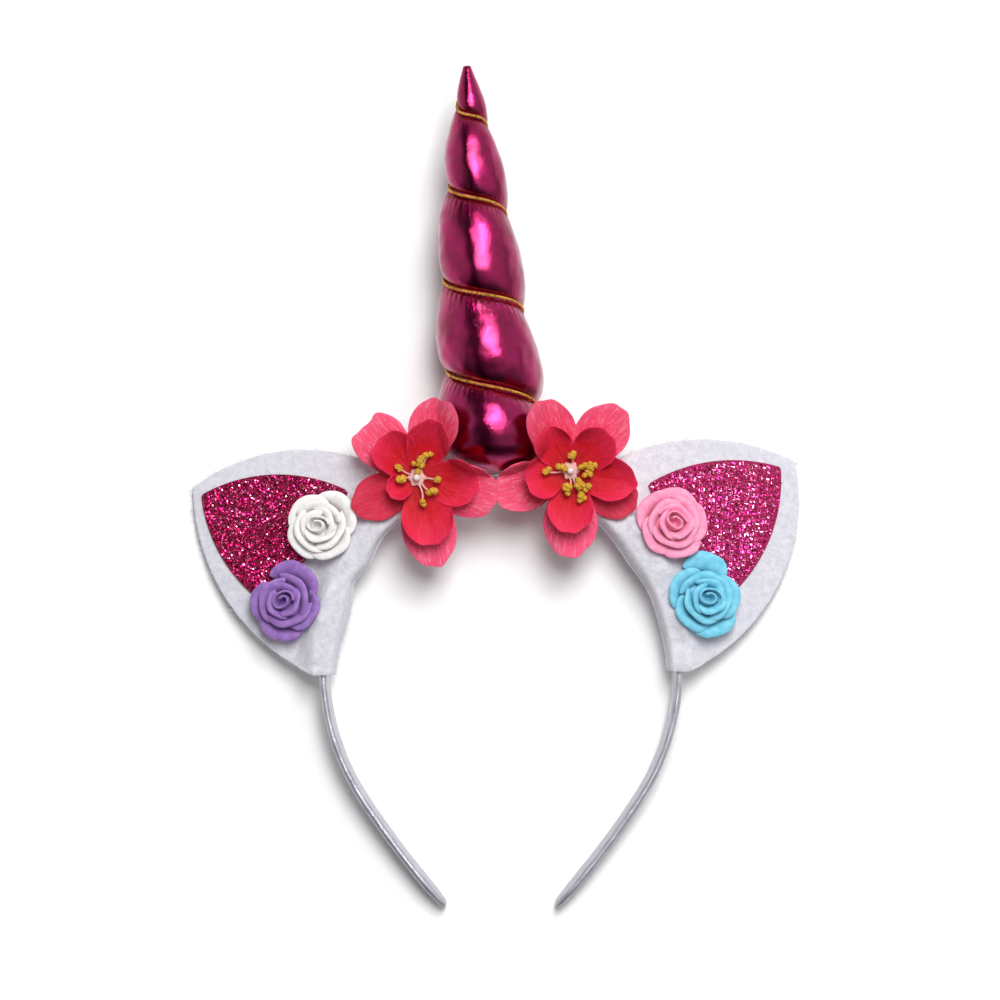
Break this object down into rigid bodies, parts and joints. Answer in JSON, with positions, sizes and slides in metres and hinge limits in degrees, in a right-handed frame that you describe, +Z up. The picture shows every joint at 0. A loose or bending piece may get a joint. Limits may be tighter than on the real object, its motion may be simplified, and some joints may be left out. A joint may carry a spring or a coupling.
{
  "type": "unicorn horn headband",
  "caption": "Satin covered hoop that carries a stuffed spiral horn, folded felt ears with glitter panels, foam roses and cloth flowers.",
  "frame": {"origin": "middle of the footprint of the headband lying on its back, on the surface that it lies on", "axes": "+Y from the ends of the hoop to the tip of the horn, +X to the right as its front is seen, +Z up, towards the front of the flowers"},
  "size_m": [0.2192, 0.3016, 0.046],
  "materials": {
    "satin_ribbon": "satin",
    "foil_cloth": "gloss",
    "gold_thread": "gloss",
    "felt": "matte",
    "glitter_cloth": "gloss",
    "foam_white": "matte",
    "foam_purple": "matte",
    "foam_pink": "matte",
    "foam_blue": "matte",
    "petal_cloth_light": "matte",
    "petal_cloth_deep": "matte",
    "stamen_sugar": "matte",
    "pearl": "gloss"
  },
  "bodies": {
    "root": {"band": "satin_ribbon", "horn": "foil_cloth", "horn_thread": "gold_thread", "ear_felt_left": "felt", "ear_glitter_left": "glitter_cloth", "ear_felt_right": "felt", "ear_glitter_right": "glitter_cloth", "rose_white": "foam_white", "rose_purple": "foam_purple", "rose_pink": "foam_pink", "rose_blue": "foam_blue", "flower_left_outer_petals": "petal_cloth_light", "flower_left_inner_petals": "petal_cloth_deep", "flower_left_stamens": "stamen_sugar", "flower_left_pearl": "pearl", "flower_right_outer_petals": "petal_cloth_light", "flower_right_inner_petals": "petal_cloth_deep", "flower_right_stamens": "stamen_sugar", "flower_right_pearl": "pearl"}
  },
  "joints": []
}
